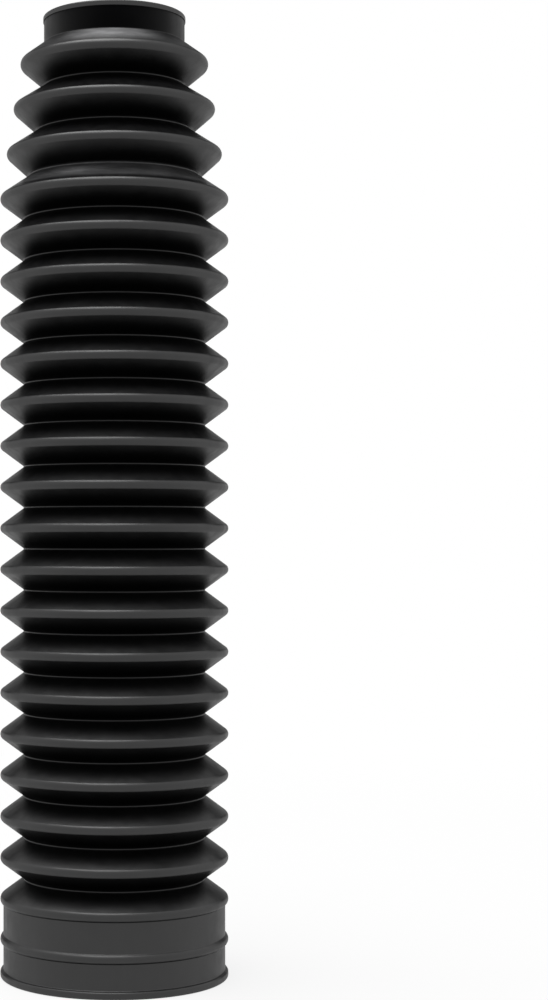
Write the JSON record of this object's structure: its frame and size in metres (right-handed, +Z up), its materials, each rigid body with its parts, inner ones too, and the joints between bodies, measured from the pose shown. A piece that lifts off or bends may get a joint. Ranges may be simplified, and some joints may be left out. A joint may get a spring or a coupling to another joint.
{
  "type": "fork gaiter",
  "caption": "Ribbed rubber sleeve that covers a motorbike's fork tube, with a narrow collar on top, folds that widen downwards and a wide cuff at the foot.",
  "frame": {"origin": "middle of the cuff's foot, on the surface it stands on", "axes": "+Z up along the sleeve's own axis, from the wide cuff to the narrow collar"},
  "size_m": [0.0658, 0.0658, 0.2765],
  "materials": {
    "rubber": "moulded, low sheen"
  },
  "bodies": {
    "root": {"fork_gaiter": "rubber"}
  },
  "joints": []
}
